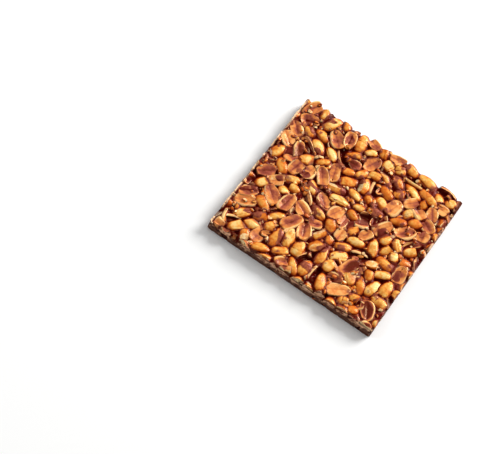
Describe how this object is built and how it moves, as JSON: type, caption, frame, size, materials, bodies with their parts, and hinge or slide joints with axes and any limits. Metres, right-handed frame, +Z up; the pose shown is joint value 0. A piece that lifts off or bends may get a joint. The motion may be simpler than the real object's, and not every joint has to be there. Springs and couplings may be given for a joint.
{
  "type": "peanut brittle slab",
  "caption": "Square slab of peanut brittle: whole, split and broken peanuts packed in hard dark caramel, knife-cut on three sides, with one rounded lumpy sheet edge.",
  "frame": {"origin": "middle of the flat underside of the slab, under the middle of its bounding box", "axes": "+Z up, from the underside to the nutty top; -Y to the front knife cut, +Y to the rounded rear edge; +X to the right-hand knife cut"},
  "size_m": [0.11, 0.1118, 0.0088],
  "materials": {
    "caramel": "hard glossy dark red-brown caramel, semi-opaque",
    "peanut": "roasted skinless peanut glazed with amber caramel; pale cream where cut or broken"
  },
  "bodies": {
    "root": {"brittle_slab": "caramel"}
  },
  "joints": []
}
